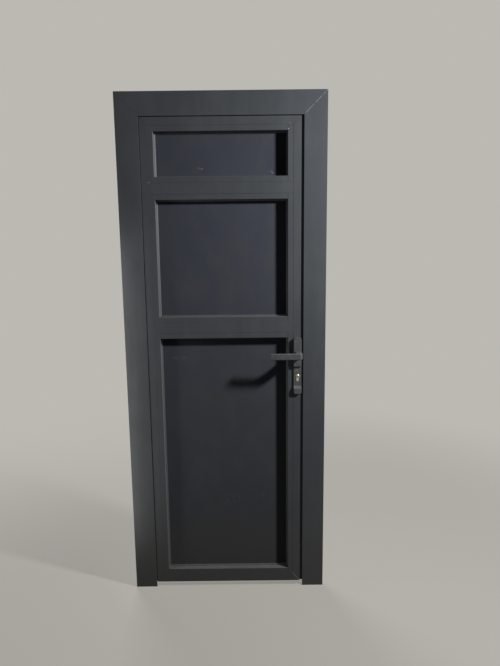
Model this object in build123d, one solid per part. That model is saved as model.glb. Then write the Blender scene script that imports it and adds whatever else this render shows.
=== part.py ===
from build123d import *
import os
from math import radians, sin

# A single aluminium door leaf in its own three-sided frame, seen from the side it opens away from.
# X runs to the right, Y runs away from the viewer and Z is up. The origin lies under the middle of
# the frame, at the level of the jamb feet and in the middle plane of the leaf. All sizes are in mm.

os.makedirs("parts", exist_ok=True)

# Frame, made of one hollow profile mitred at the two top corners
overall_width = 834.0
overall_height = 2100.0
frame_depth = 44.0
frame_wall = 2.0
stop_wing_width = 24.0
jamb_tube_width = 50.0
cover_flange_width = 18.0
flange_return_depth = 5.0
leaf_setback = 2.0
profile_edge_radius = 0.8

# Leaf, made of one stepped hollow profile with an overlapping lip at the back
leaf_thickness = 50.0
leaf_wall = 2.0
leaf_step_depth = 7.0
leaf_step_width = 22.0
leaf_lip_width = 18.0
leaf_lip_thickness = 3.0
stile_tube_face = 31.0
top_rail_face = 32.0
bottom_rail_face = 39.5
mid_rail_face = 45.0
top_panel_opening = 216.5
lower_rail_height = 1172.5
hinge_side_gap = 2.0
lock_side_gap = 11.0
head_gap = 3.0
floor_gap = 22.0

# Panels and the beads that hold them from the front
bead_face = 22.0
bead_wall = 1.5
bead_edge_radius = 1.2
bead_leg_depth = 17.0
bead_end_clearance = 0.1
panel_recess = 28.0
panel_thickness = 16.0
panel_edge_gap = 5.0
packer_length = 100.0
packer_inset = 60.0
packer_face_inset = 1.0

# Seals
seal_rib_width = 1.2
seal_rib_height = 4.0
seal_groove_width = 5.6
seal_groove_inset = 2.0
seal_bulb_width = 3.6
lip_rib_height = 2.0
seal_clearance = 0.3
wedge_gasket_thickness = 4.5
wedge_gasket_edge = 1.5
wedge_gasket_lip = 9.0
wedge_gasket_foot = 6.0
back_gasket_width = 7.6
back_gasket_show = 0.6

# Corner cleats and rail connectors inside the profiles
cleat_clearance = 0.3
cleat_leg = 75.0
cleat_wall = 4.0
connector_length = 40.0
connector_wall = 4.0

# Hinges
lower_hinge_height = 250.0
upper_hinge_drop = 158.0
hinge_height = 90.0
hinge_leaf_knuckle = 40.0
hinge_barrel_radius = 8.5
hinge_pin_radius = 5.0
hinge_bush_wall = 1.5
hinge_pin_seat_clearance = 0.02
hinge_plate_thickness = 3.0
hinge_axis_beyond_lip = 10.0
hinge_frame_plate_reach = 25.0
hinge_leaf_plate_reach = 48.0
hinge_frame_screw_reach = 16.0
hinge_leaf_screw_reach = 38.0
hinge_frame_screw_pitch = 60.0
hinge_leaf_screw_pitch = 22.0
running_clearance = 0.05
knuckle_clearance = 0.1
barrel_to_frame_gap = 0.5
hinge_plate_corner = 3.0
bush_gap = 2.0
bush_flange_inset = 0.5

# Screws
screw_shank_radius = 2.4
screw_head_radius = 4.4
screw_head_depth = 2.2
screw_length = 12.0
screw_recess_length = 4.4
screw_recess_width = 0.9
screw_recess_depth = 1.0
screw_hole_clearance = 0.1

# Fixing holes that hold the frame to the wall
fixing_hole_radius = 4.5
lowest_fixing = 200.0
highest_fixing_drop = 250.0
fixings_per_jamb = 4

# Handle plates and levers, the same on both faces; rises and drops are measured from the spindle
backset = 12.5
spindle_height = 1057.0
cylinder_drop = 92.0
plate_width = 32.0
plate_rise = 71.0
plate_drop = 169.0
plate_base_thickness = 5.0
plate_pad_thickness = 12.0
upper_pad_drop = 52.0
lower_pad_drop = 146.0
pad_slope = 11.0
pad_step = 2.0
plate_corner_radius = 8.0
plate_edge_radius = 1.5
plate_groove_rise = 50.0
plate_groove_size = 0.8
lever_length = 115.0
lever_height = 26.5
lever_bar_thickness = 10.0
lever_neck_left = 10.0
lever_neck_right = 16.0
lever_projection = 63.0
lever_outer_bend = 12.0
lever_inner_bend = 16.0
lever_edge_radius = 3.5
lever_tip_return = 3.0
lever_tip_length = 26.0
lever_gap = 0.3
lever_turn = 40.0
lever_bearing_radius = 8.0
lever_bearing_gap = 1.0
spindle_side = 8.0
spindle_half_length = 55.0
spindle_clearance = 0.05
plate_screw_drop = 68.0
plate_bolt_rise = 60.0
plate_bolt_drop = 158.0
plate_stud_radius = 4.0
plate_bolt_end_gap = 1.0

# Cylinder
cylinder_radius = 8.5
cylinder_leg_width = 10.0
cylinder_total_height = 33.0
cylinder_half_length = 31.0
cylinder_clearance = 0.3
cylinder_wall_clearance = 1.0
plug_radius = 6.5
cam_radius = 11.8
cam_thickness = 9.6
cam_hub_radius = 8.0
cam_slot_clearance = 0.1
cam_slot = 10.0
cam_lug_width = 7.0
keyway_width = 1.8
keyway_height = 8.0
keyway_depth = 9.0
keyway_drop = 1.5
plug_end_gap = 0.1
cylinder_screw_drop = 18.0

# Lock in the right-hand stile; rises and drops are measured from the spindle
case_rise = 40.0
case_drop = 133.0
case_thickness = 16.0
case_wall = 1.2
case_clearance = 0.6
faceplate_thickness = 3.0
faceplate_width = 22.0
faceplate_rise = 72.0
faceplate_drop = 168.0
faceplate_screw_inset = 10.0
faceplate_corner_radius = 3.0
strike_thickness = 6.0
strike_rise = 54.0
strike_drop = 83.0
strike_screw_inset = 9.0
strike_clearance = 1.5
latch_width = 12.0
latch_rise = 8.0
latch_height = 24.0
latch_stroke = 11.0
latch_head_length = 27.0
latch_slope_start = 0.5
latch_tip_flat = 2.0
latch_tail_rise = 5.0
latch_tail_height = 13.0
latch_tail_width = 8.0
latch_tail_wall = 2.8
bolt_clearance = 0.2
dead_bolt_drop = 32.0
dead_bolt_height = 30.0
dead_bolt_length = 46.0
dead_bolt_inset = 0.2
follower_radius = 8.6
follower_arm_tip_radius = 2.2
follower_arm_half_width = 1.8
follower_arm_thickness = 5.0
follower_slot_clearance = 1.0
follower_slot_top_clearance = 0.7
cam_to_bolt_clearance = 0.6

# How far cutting shapes run past what they cut, and the outline of the mitre cuts
past = 1.0
mitre_margin = 10.0
mitre_run_out = 1.5
mitre_run_in = 1.8

# Places worked out from the sizes above
leaf_front = -leaf_thickness / 2
leaf_back = leaf_thickness / 2
step_plane = leaf_front + leaf_step_depth
frame_front = leaf_front - leaf_setback
frame_back = frame_front + frame_depth
jamb_face = stop_wing_width + jamb_tube_width + cover_flange_width
opening_half = overall_width / 2 - jamb_face
opening_top = overall_height - jamb_face
leaf_left = -opening_half + hinge_side_gap
leaf_right = opening_half - lock_side_gap
leaf_top = opening_top - head_gap
leaf_bottom = floor_gap
lip_reach = leaf_step_width + leaf_lip_width
lip_front = leaf_back - leaf_lip_thickness
glazing_lip = bead_face
step_back = step_plane + leaf_wall
panel_front = leaf_front + panel_recess
panel_back = panel_front + panel_thickness
lip_face = leaf_back - leaf_wall
inner_left = leaf_left + stile_tube_face
inner_right = leaf_right - stile_tube_face
spindle_x = leaf_right - backset
cylinder_z = spindle_height - cylinder_drop
body_right = leaf_right + leaf_step_width
faceplate_front = body_right + faceplate_thickness
jamb_wall = opening_half + stop_wing_width
strike_front = jamb_wall - strike_thickness
hinge_x = leaf_left - lip_reach - hinge_axis_beyond_lip
hinge_y = frame_back + hinge_barrel_radius + barrel_to_frame_gap
half_rail = mid_rail_face / 2
upper_rail_height = leaf_top - top_rail_face - top_panel_opening - half_rail

# Heights of what is spread over the door, and of the handle and lock
upper_hinge_height = leaf_top - upper_hinge_drop
middle_hinge_height = (lower_hinge_height + upper_hinge_height) / 2
hinge_heights = (lower_hinge_height, middle_hinge_height, upper_hinge_height)
fixing_step = (overall_height - highest_fixing_drop - lowest_fixing) / (fixings_per_jamb - 1)
fixing_heights = [lowest_fixing + count * fixing_step for count in range(fixings_per_jamb)]
plate_top = spindle_height + plate_rise
plate_bottom = spindle_height - plate_drop
upper_pad_bottom = spindle_height - upper_pad_drop
lower_pad_top = spindle_height - lower_pad_drop
plate_groove_height = spindle_height + plate_groove_rise
plate_screw_height = spindle_height - plate_screw_drop
plate_fixing_heights = (spindle_height - plate_bolt_drop, spindle_height + plate_bolt_rise)
case_top = spindle_height + case_rise
case_bottom = spindle_height - case_drop
faceplate_top = spindle_height + faceplate_rise
faceplate_bottom = spindle_height - faceplate_drop
strike_top = spindle_height + strike_rise
strike_bottom = spindle_height - strike_drop
latch_bottom = spindle_height + latch_rise
latch_top = latch_bottom + latch_height
latch_tail_bottom = latch_bottom + latch_tail_rise
latch_tail_top = latch_tail_bottom + latch_tail_height
dead_bolt_top = spindle_height - dead_bolt_drop
dead_bolt_bottom = dead_bolt_top - dead_bolt_height


def block(x0, x1, y0, y1, z0, z1):
    """A box between two X, two Y and two Z values."""
    return Pos((x0 + x1) / 2, (y0 + y1) / 2, (z0 + z1) / 2) * Box(x1 - x0, y1 - y0, z1 - z0)


def rod_x(x0, x1, y, z, radius):
    """A round bar along X."""
    return Pos((x0 + x1) / 2, y, z) * Rot(0, 90, 0) * Cylinder(radius, x1 - x0)


def rod_y(x, y0, y1, z, radius):
    """A round bar along Y."""
    return Pos(x, (y0 + y1) / 2, z) * Rot(90, 0, 0) * Cylinder(radius, y1 - y0)


def rod_z(x, y, z0, z1, radius):
    """A round bar along Z."""
    return Pos(x, y, (z0 + z1) / 2) * Cylinder(radius, z1 - z0)


def prism_y(points, y0, y1):
    """A straight prism along Y over an outline of X and Z points."""
    outline = Plane.XZ * Polyline(*points, close=True)
    return Pos(0, y1, 0) * extrude(make_face(outline), y1 - y0, dir=(0, -1, 0))


def prism_z(face, z0, z1):
    """A straight prism along Z over a face drawn in X and Y."""
    return Pos(0, 0, z0) * extrude(face, z1 - z0)


def save(name, *solids):
    """Write one sub-part, as a single solid or as a group of separate ones."""
    shape = solids[0] if len(solids) == 1 else Compound(children=list(solids))
    export_step(shape, f"parts/{name}.step")


def screw_form(place, direction, length, gap):
    """A countersunk head and its shank, grown by a gap, from the middle of the head's flat face."""
    from_base = (Align.CENTER, Align.CENTER, Align.MIN)
    head = Cone(screw_head_radius + gap, screw_shank_radius + gap, screw_head_depth, align=from_base)
    shank = Cylinder(screw_shank_radius + gap, length + gap, align=from_base)
    return Plane(origin=place, z_dir=direction) * (head + shank)


def screw(place, direction, length=screw_length):
    """A countersunk screw with a cross recess, pointing along a direction."""
    slot = Box(screw_recess_length, screw_recess_width, 2 * screw_recess_depth)
    cross = slot + Rot(0, 0, 90) * slot
    return screw_form(place, direction, length, 0) - Plane(origin=place, z_dir=direction) * cross


def screw_hole(place, direction, length=screw_length):
    """The countersunk hole that one screw passes through."""
    return screw_form(place, direction, length, screw_hole_clearance)


# Frame profile as bands that follow the opening, measured outwards from its edge
def frame_band(inner, outer, y0, y1):
    """A band round the two sides and the head, between two distances outside the opening."""
    wide = opening_half + outer
    narrow = opening_half + inner
    around = block(-wide, wide, y0, y1, 0, opening_top + outer)
    inside = block(-narrow, narrow, y0 - past, y1 + past, -past, opening_top + inner)
    return around - inside


tube_inner = stop_wing_width
tube_outer = stop_wing_width + jamb_tube_width
wing_back = frame_front + frame_wall
rib_back = wing_back + seal_rib_height
first_rib = seal_groove_inset
second_rib = first_rib + seal_rib_width + seal_groove_width

frame_ring = frame_band(0, tube_inner + frame_wall, frame_front, wing_back)
for rib in (first_rib, second_rib):
    frame_ring += frame_band(rib, rib + seal_rib_width, wing_back, rib_back)
frame_ring += frame_band(tube_inner, tube_outer, frame_front, frame_back)
tube_back = frame_back - frame_wall
frame_ring -= frame_band(tube_inner + frame_wall, tube_outer - frame_wall, wing_back, tube_back)
frame_ring += frame_band(tube_outer, jamb_face, frame_front, wing_back)
frame_ring += frame_band(jamb_face - frame_wall, jamb_face, wing_back, wing_back + flange_return_depth)


def round_front_edges(member, axis):
    """Round the edges of a member's front face that run along it."""
    front_face = member.faces().sort_by(Axis.Y)[0]
    return fillet(front_face.edges().filter_by(axis), profile_edge_radius)


def frame_member(side):
    """One mitred length of the frame: side -1 is the left jamb, 1 the right one and 0 the head."""
    reach = jamb_face + mitre_margin
    low = -mitre_margin
    if side == 0:
        outline = [
            (-opening_half - reach, opening_top + reach),
            (opening_half + reach, opening_top + reach),
            (opening_half + low, opening_top + low),
            (-opening_half - low, opening_top + low),
        ]
    else:
        outline = [
            (side * (opening_half + reach), opening_top + reach),
            (side * (opening_half + low), opening_top + low),
            (side * (opening_half + low), low),
            (side * (opening_half + reach), low),
        ]
    member = frame_ring & prism_y(outline, frame_front - mitre_margin, frame_back + mitre_margin)
    return round_front_edges(member, Axis.Z if side else Axis.X)


# Hinge, strike, lock and handle openings that the profiles are drilled and milled for
frame_hinge_screws = []
leaf_hinge_screws = []
frame_plate_back = frame_back + hinge_plate_thickness
leaf_plate_back = leaf_back + hinge_plate_thickness
for height in hinge_heights:
    for turn in (-1, 1):
        frame_screw_z = height + turn * hinge_frame_screw_pitch / 2
        frame_hinge_screws.append((hinge_x - hinge_frame_screw_reach, frame_plate_back, frame_screw_z))
        leaf_screw_z = height + turn * hinge_leaf_screw_pitch / 2
        leaf_hinge_screws.append((hinge_x + hinge_leaf_screw_reach, leaf_plate_back, leaf_screw_z))
strike_screws = [
    (strike_front, 0, strike_bottom + strike_screw_inset),
    (strike_front, 0, strike_top - strike_screw_inset),
]
faceplate_screws = [
    (faceplate_front, 0, faceplate_bottom + faceplate_screw_inset),
    (faceplate_front, 0, faceplate_top - faceplate_screw_inset),
]
plate_face = leaf_thickness / 2 + plate_base_thickness
plate_screws = []
inward = (0, -1, 0)
away = (0, 1, 0)
to_the_right = (1, 0, 0)
to_the_left = (-1, 0, 0)


def keep_openings(x0, x1):
    """The two rectangular holes that the latch and the dead bolt shoot into."""
    gap = strike_clearance
    half = latch_width / 2 + gap
    latch_hole = block(x0, x1, -half, half, latch_bottom - gap, latch_top + gap)
    bolt_hole = block(x0, x1, -half, half, dead_bolt_bottom - gap, dead_bolt_top + gap)
    return latch_hole + bolt_hole


left_jamb = frame_member(-1)
right_jamb = frame_member(1)
fixing_y = frame_front + frame_depth / 2
for height in fixing_heights:
    hole = rod_x(opening_half, opening_half + jamb_face, fixing_y, height, fixing_hole_radius)
    right_jamb -= hole
    left_jamb -= mirror(hole, about=Plane.YZ)
for place in frame_hinge_screws:
    left_jamb -= screw_hole(place, inward)
for place in strike_screws:
    right_jamb -= screw_hole(place, to_the_right)
right_jamb -= keep_openings(jamb_wall - past, jamb_wall + frame_wall + past)
save("left_jamb", left_jamb)
save("right_jamb", right_jamb)
save("frame_head", frame_member(0))


# Corner cleats are short lengths of an L-shaped hollow block
def cleat(corner_x, corner_z, side, rise, across_x, across_z, y0, y1):
    """An L-shaped cleat from an outer corner, with legs going sideways and downwards or upwards."""
    wall = cleat_wall
    outline = [
        (0, 0),
        (cleat_leg, 0),
        (cleat_leg, across_z),
        (across_x, across_z),
        (across_x, cleat_leg),
        (0, cleat_leg),
    ]
    pocket = [
        (wall, wall),
        (cleat_leg - wall, wall),
        (cleat_leg - wall, across_z - wall),
        (across_x - wall, across_z - wall),
        (across_x - wall, cleat_leg - wall),
        (wall, cleat_leg - wall),
    ]
    outer = [(corner_x + side * px, corner_z + rise * pz) for px, pz in outline]
    inner = [(corner_x + side * px, corner_z + rise * pz) for px, pz in pocket]
    return prism_y(outer, y0, y1) - prism_y(inner, y0 - past, y1 + past)


frame_cleat_inset = tube_outer - frame_wall - cleat_clearance
frame_cleat_width = jamb_tube_width - 2 * frame_wall - 2 * cleat_clearance
frame_cleats = []
for side in (-1, 1):
    frame_cleats.append(
        cleat(
            side * (opening_half + frame_cleat_inset),
            opening_top + frame_cleat_inset,
            -side,
            -1,
            frame_cleat_width,
            frame_cleat_width,
            wing_back + cleat_clearance,
            frame_back - frame_wall - cleat_clearance,
        )
    )
save("frame_corner_cleats", *frame_cleats)

# Frame seal in the groove behind the stop wing, with a bulb that the leaf closes against
groove_start = first_rib + seal_rib_width
groove_middle = groove_start + seal_groove_width / 2
seal_body = frame_band(
    groove_start + seal_clearance,
    groove_start + seal_groove_width - seal_clearance,
    wing_back + seal_clearance,
    rib_back,
)
seal_bulb = frame_band(
    groove_middle - seal_bulb_width / 2,
    groove_middle + seal_bulb_width / 2,
    rib_back,
    step_plane - seal_clearance,
)
save("frame_seal", seal_body + seal_bulb)


# Leaf profile as bands that follow the edge of its front face, measured inwards from it
def leaf_block(side, top, bottom, y0, y1):
    """A block as large as the leaf's front face, drawn in at the sides, the top and the bottom."""
    return block(leaf_left + side, leaf_right - side, y0, y1, leaf_bottom + bottom, leaf_top - top)


wall = leaf_wall
step = leaf_step_width
leaf_ring = leaf_block(0, 0, 0, leaf_front, step_plane)
leaf_ring += leaf_block(-step, -step, 0, step_plane, leaf_back)
leaf_ring -= leaf_block(
    stile_tube_face,
    top_rail_face,
    bottom_rail_face,
    leaf_front - past,
    leaf_back + past,
)
hollow = leaf_block(wall, wall, wall, leaf_front + wall, step_back)
hollow += leaf_block(wall - step, wall - step, wall, step_back, leaf_back - wall)
hollow -= leaf_block(
    stile_tube_face - wall,
    top_rail_face - wall,
    bottom_rail_face - wall,
    leaf_front,
    leaf_back,
)
leaf_ring -= hollow
glazing_band = leaf_block(stile_tube_face, top_rail_face, bottom_rail_face, lip_face, leaf_back)
glazing_band -= leaf_block(
    stile_tube_face + glazing_lip,
    top_rail_face + glazing_lip,
    bottom_rail_face + glazing_lip,
    lip_face - past,
    leaf_back + past,
)
leaf_ring += glazing_band


def lip_band(inner, outer, y0, y1):
    """A band along both stiles and the top rail, between two distances outside the front face."""
    around = leaf_block(-outer, -outer, 0, y0, y1)
    return around - leaf_block(-inner, -inner, -past, y0 - past, y1 + past)


leaf_ring += lip_band(step, lip_reach, lip_front, leaf_back)
lip_rib = lip_reach - seal_rib_width
lip_groove = lip_rib - seal_groove_width
for rib in (lip_rib, lip_groove - seal_rib_width):
    leaf_ring += lip_band(rib, rib + seal_rib_width, lip_front - lip_rib_height, lip_front)


def leaf_member(name):
    """One mitred length of the leaf, cut out of the ring by planes through its corners."""
    out = mitre_run_out
    deep = mitre_run_in
    corners = {}
    for side, x in ((-1, leaf_left), (1, leaf_right)):
        for rise, z, face in ((-1, leaf_bottom, bottom_rail_face), (1, leaf_top, top_rail_face)):
            outer_point = (x + side * stile_tube_face * out, z + rise * face * out)
            inner_point = (x - side * stile_tube_face * deep, z - rise * face * deep)
            corners[side, rise] = (outer_point, inner_point)
    ends = {
        "left": ((-1, -1), (-1, 1)),
        "right": ((1, -1), (1, 1)),
        "top": ((-1, 1), (1, 1)),
        "bottom": ((-1, -1), (1, -1)),
    }[name]
    first, second = (corners[key] for key in ends)
    outline = [first[0], first[1], second[1], second[0]]
    member = leaf_ring & prism_y(outline, leaf_front - mitre_margin, leaf_back + mitre_margin)
    return round_front_edges(member, Axis.X if name in ("top", "bottom") else Axis.Z)


def cylinder_prism(gap, y0, y1):
    """The cylinder's outline, a circle over a straight leg, widened by a gap and carried along Y."""
    leg_bottom = cylinder_z + cylinder_radius - cylinder_total_height - gap
    half = cylinder_leg_width / 2 + gap
    barrel = rod_y(spindle_x, y0, y1, cylinder_z, cylinder_radius + gap)
    leg = block(spindle_x - half, spindle_x + half, y0, y1, leg_bottom + half, cylinder_z)
    foot = rod_y(spindle_x, y0, y1, leg_bottom + half, half)
    return barrel + leg + foot


left_stile = leaf_member("left")
for place in leaf_hinge_screws:
    left_stile -= screw_hole(place, inward)
save("left_stile", left_stile)

right_stile = leaf_member("right")
mortice_half = case_thickness / 2 + bolt_clearance
mortice_left = body_right - wall - past
right_stile -= block(mortice_left, body_right + past, -mortice_half, mortice_half, case_bottom, case_top)
right_stile -= cylinder_prism(cylinder_wall_clearance, leaf_front - past, leaf_back + past)
spindle_bore = lever_bearing_radius + cylinder_wall_clearance
right_stile -= rod_y(spindle_x, leaf_front - past, leaf_back + past, spindle_height, spindle_bore)
stud_bore = plate_stud_radius + screw_hole_clearance
for height in plate_fixing_heights:
    right_stile -= rod_y(spindle_x, leaf_front - past, leaf_back + past, height, stud_bore)
for face, direction in ((-1, away), (1, inward)):
    place = (spindle_x, face * plate_face, plate_screw_height)
    plate_screws.append((place, direction))
    right_stile -= screw_hole(place, direction)
for place in faceplate_screws:
    right_stile -= screw_hole(place, to_the_left)
save("right_stile", right_stile)
save("top_rail", leaf_member("top"))
save("bottom_rail", leaf_member("bottom"))


def mid_rail(height):
    """A middle rail that butts between the stiles, notched at the back over their glazing lips."""
    half = mid_rail_face / 2
    inside = half - wall
    reach = half + glazing_lip
    lip_left = inner_left + glazing_lip
    lip_right = inner_right - glazing_lip
    rail = block(inner_left, inner_right, leaf_front, leaf_back, height - half, height + half)
    left = inner_left - past
    right = inner_right + past
    rail -= block(left, right, leaf_front + wall, lip_face, height - inside, height + inside)
    rail += block(lip_left, lip_right, lip_face, leaf_back, height - reach, height + reach)
    for x0, x1 in ((left, lip_left), (lip_right, right)):
        rail -= block(x0, x1, lip_face, leaf_back + past, height - half - past, height + half + past)
    return round_front_edges(rail, Axis.X)


save("upper_rail", mid_rail(upper_rail_height))
save("lower_rail", mid_rail(lower_rail_height))

leaf_cleats = []
cleat_inset = wall + cleat_clearance
for side, x in ((-1, leaf_left), (1, leaf_right)):
    for rise, z, face in ((-1, leaf_bottom, bottom_rail_face), (1, leaf_top, top_rail_face)):
        leaf_cleats.append(
            cleat(
                x - side * cleat_inset,
                z - rise * cleat_inset,
                -side,
                -rise,
                stile_tube_face - 2 * cleat_inset,
                face - 2 * cleat_inset,
                leaf_front + cleat_inset,
                leaf_back - cleat_inset,
            )
        )
save("leaf_corner_cleats", *leaf_cleats)

connectors = []
for height in (upper_rail_height, lower_rail_height):
    half = mid_rail_face / 2 - cleat_inset
    for side, x in ((1, inner_left), (-1, inner_right)):
        x0, x1 = sorted((x, x + side * connector_length))
        hollow0, hollow1 = sorted((x + side * connector_wall, x + side * (connector_length + past)))
        front_side = leaf_front + cleat_inset
        back_side = lip_face - cleat_clearance
        body = block(x0, x1, front_side, back_side, height - half, height + half)
        body -= block(
            hollow0,
            hollow1,
            front_side + connector_wall,
            back_side - connector_wall,
            height - half - past,
            height + half + past,
        )
        connectors.append(body)
save("rail_connectors", *connectors)

# Lip seal on the back of the leaf, which closes against the frame
lip_seal = lip_band(
    lip_groove + seal_clearance,
    lip_rib - seal_clearance,
    lip_front - lip_rib_height,
    lip_front - seal_clearance,
)
lip_seal += lip_band(
    lip_groove + seal_groove_width / 2 - seal_bulb_width / 2,
    lip_groove + seal_groove_width / 2 + seal_bulb_width / 2,
    frame_back + seal_clearance,
    lip_front - lip_rib_height,
)
save("leaf_seal", lip_seal)

# The three panels, from the top down, each between the tube faces of two rails
panel_spans = {
    "top": (upper_rail_height + half_rail, leaf_top - top_rail_face),
    "middle": (lower_rail_height + half_rail, upper_rail_height - half_rail),
    "bottom": (leaf_bottom + bottom_rail_face, lower_rail_height - half_rail),
}


def ring_in_opening(low, high, outer, inner, y0, y1):
    """A rectangular ring in one panel opening, between two distances inside its edge."""
    around = block(inner_left + outer, inner_right - outer, y0, y1, low + outer, high - outer)
    left = inner_left + inner
    right = inner_right - inner
    return around - block(left, right, y0 - past, y1 + past, low + inner, high - inner)


wall_end = panel_front - wedge_gasket_thickness
lip_end = bead_face + wedge_gasket_lip
inner_wall = bead_face - bead_wall


def bead_section():
    """The bead's section: distance from the tube along X and depth along Y, open at the back."""
    leg_end = leaf_front + bead_leg_depth
    outline = Polyline(
        (seal_clearance, leaf_front),
        (bead_face, leaf_front),
        (bead_face, wall_end),
        (inner_wall, wall_end),
        (inner_wall, leaf_front + bead_wall),
        (seal_clearance + bead_wall, leaf_front + bead_wall),
        (seal_clearance + bead_wall, leg_end),
        (seal_clearance, leg_end),
        close=True,
    )
    face = make_face(outline)
    front_corner = face.vertices().sort_by_distance(Vector(bead_face, leaf_front, 0))[0]
    return fillet(front_corner, bead_edge_radius)


bead_profile = bead_section()


def side_bead(low, high):
    """The left-hand bead of an opening, full height."""
    return Pos(inner_left, 0, 0) * prism_z(bead_profile, low + seal_clearance, high - seal_clearance)


def cross_bead(low, high, at_top):
    """A bead across an opening, cut square between the two side beads."""
    half_length = (inner_right - inner_left) / 2 - bead_face - bead_end_clearance
    bar = Pos(middle_x, 0, high) * Rot(0, 90, 0) * prism_z(bead_profile, -half_length, half_length)
    halfway = Plane(origin=(0, 0, (low + high) / 2), z_dir=(0, 0, 1))
    return bar if at_top else mirror(bar, about=halfway)


def opening_face(low, high, inset, y):
    """A rectangle in one panel opening, at a distance inside its edge and at one depth."""
    width = inner_right - inner_left - 2 * inset
    place = Plane(origin=(middle_x, y, (low + high) / 2), x_dir=(1, 0, 0), z_dir=(0, -1, 0))
    return place * Rectangle(width, high - low - 2 * inset)


def wedge_gasket(low, high):
    """The ring that each bead presses on the panel, with a lip that slopes from the bead to the panel."""
    ring = ring_in_opening(low, high, bead_face - wedge_gasket_foot, lip_end, wall_end, panel_front)
    lip_front = panel_front - wedge_gasket_edge
    slope = loft([opening_face(low, high, bead_face, wall_end), opening_face(low, high, lip_end, lip_front)])
    return ring - slope


middle_x = (inner_left + inner_right) / 2
middle_plane = Plane(origin=(middle_x, 0, 0), z_dir=(1, 0, 0))
packers = []
for name, (low, high) in panel_spans.items():
    gap = panel_edge_gap
    panel = block(inner_left + gap, inner_right - gap, panel_front, panel_back, low + gap, high - gap)
    save(f"{name}_panel", panel)
    left_bead = side_bead(low, high)
    right_bead = mirror(left_bead, about=middle_plane)
    save(f"{name}_side_beads", left_bead, right_bead)
    save(f"{name}_cross_beads", cross_bead(low, high, False), cross_bead(low, high, True))
    save(f"{name}_front_gasket", wedge_gasket(low, high))
    back_inner = glazing_lip + back_gasket_show
    back_outer = back_inner - back_gasket_width
    back_gasket = ring_in_opening(low, high, back_outer, back_inner, panel_back, lip_face)
    save(f"{name}_back_gasket", back_gasket)
    packer_front = panel_front + packer_face_inset
    packer_back = panel_back - packer_face_inset
    for x in (inner_left + packer_inset, inner_right - packer_inset - packer_length):
        packers.append(block(x, x + packer_length, packer_front, packer_back, low, low + gap))
save("panel_packers", *packers)

# Hinges: the frame plate carries the outer knuckles and the pin, the leaf plate the middle one
half_hinge = hinge_height / 2
half_knuckle = hinge_leaf_knuckle / 2
bush_flange = half_knuckle + hinge_bush_wall
pin_fit = hinge_pin_radius + running_clearance
pin_seat = hinge_pin_radius + hinge_pin_seat_clearance
bush_radius = pin_fit + hinge_bush_wall
for name, height in zip(("lower", "middle", "upper"), hinge_heights):
    low = height - half_hinge
    high = height + half_hinge
    frame_edge = hinge_x - hinge_frame_plate_reach
    frame_plate = block(frame_edge, hinge_x, frame_back, frame_plate_back, low, high)
    frame_plate = fillet(frame_plate.edges().filter_by(Axis.Y).sort_by(Axis.X)[:2], hinge_plate_corner)
    frame_plate += rod_z(hinge_x, hinge_y, low, high, hinge_barrel_radius)
    window = bush_flange + knuckle_clearance
    frame_plate -= block(
        hinge_x - hinge_barrel_radius - past,
        hinge_x + hinge_barrel_radius + past,
        frame_back - past,
        hinge_y + hinge_barrel_radius + past,
        height - window,
        height + window,
    )
    frame_plate -= rod_z(hinge_x, hinge_y, low - past, high + past, pin_seat)
    for place in frame_hinge_screws:
        frame_plate -= screw_hole(place, inward)
    save(f"{name}_hinge_frame_plate", frame_plate)

    knuckle_low = height - half_knuckle
    knuckle_high = height + half_knuckle
    leaf_edge = hinge_x + hinge_leaf_plate_reach
    leaf_plate = block(hinge_x, leaf_edge, leaf_back, leaf_plate_back, knuckle_low, knuckle_high)
    leaf_plate = fillet(leaf_plate.edges().filter_by(Axis.Y).sort_by(Axis.X)[-2:], hinge_plate_corner)
    leaf_plate += rod_z(hinge_x, hinge_y, knuckle_low, knuckle_high, hinge_barrel_radius)
    leaf_plate -= rod_z(hinge_x, hinge_y, low, high, bush_radius)
    for place in leaf_hinge_screws:
        leaf_plate -= screw_hole(place, inward)
    save(f"{name}_hinge_leaf_plate", leaf_plate)

pins = [rod_z(hinge_x, hinge_y, z - half_hinge, z + half_hinge, hinge_pin_radius) for z in hinge_heights]
save("hinge_pins", *pins)
bushes = []
for height in hinge_heights:
    for turn in (-1, 1):
        inner_end = height + turn * bush_gap
        flange_start = height + turn * half_knuckle
        flange_end = height + turn * bush_flange
        flange_radius = hinge_barrel_radius - bush_flange_inset
        bush = rod_z(hinge_x, hinge_y, *sorted((inner_end, flange_start)), bush_radius)
        bush += rod_z(hinge_x, hinge_y, *sorted((flange_start, flange_end)), flange_radius)
        bush -= rod_z(hinge_x, hinge_y, height - half_hinge, height + half_hinge, pin_fit)
        bushes.append(bush)
save("hinge_bushes", *bushes)
save("hinge_frame_screws", *[screw(place, inward) for place in frame_hinge_screws])
save("hinge_leaf_screws", *[screw(place, inward) for place in leaf_hinge_screws])

# Strike plate on the lock-side jamb
half_faceplate = faceplate_width / 2
strike = block(strike_front, jamb_wall, -half_faceplate, half_faceplate, strike_bottom, strike_top)
strike -= keep_openings(strike_front - past, jamb_wall + past)
for place in strike_screws:
    strike -= screw_hole(place, to_the_right)
save("strike_plate", strike)
save("strike_screws", *[screw(place, to_the_right) for place in strike_screws])

# Lock case with its faceplate
case_left = leaf_right - stile_tube_face + wall + case_clearance
half_case = case_thickness / 2
case_low = case_bottom + case_clearance
case_high = case_top - case_clearance
case = block(case_left, body_right, -half_case, half_case, case_low, case_high)
inside = half_case - case_wall
case -= block(
    case_left + case_wall,
    body_right - case_wall,
    -inside,
    inside,
    case_low + case_wall,
    case_high - case_wall,
)
case_cut = half_case + past
case -= rod_y(spindle_x, -case_cut, case_cut, spindle_height, follower_radius + running_clearance)
case -= cylinder_prism(cylinder_clearance, -case_cut, case_cut)


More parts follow.
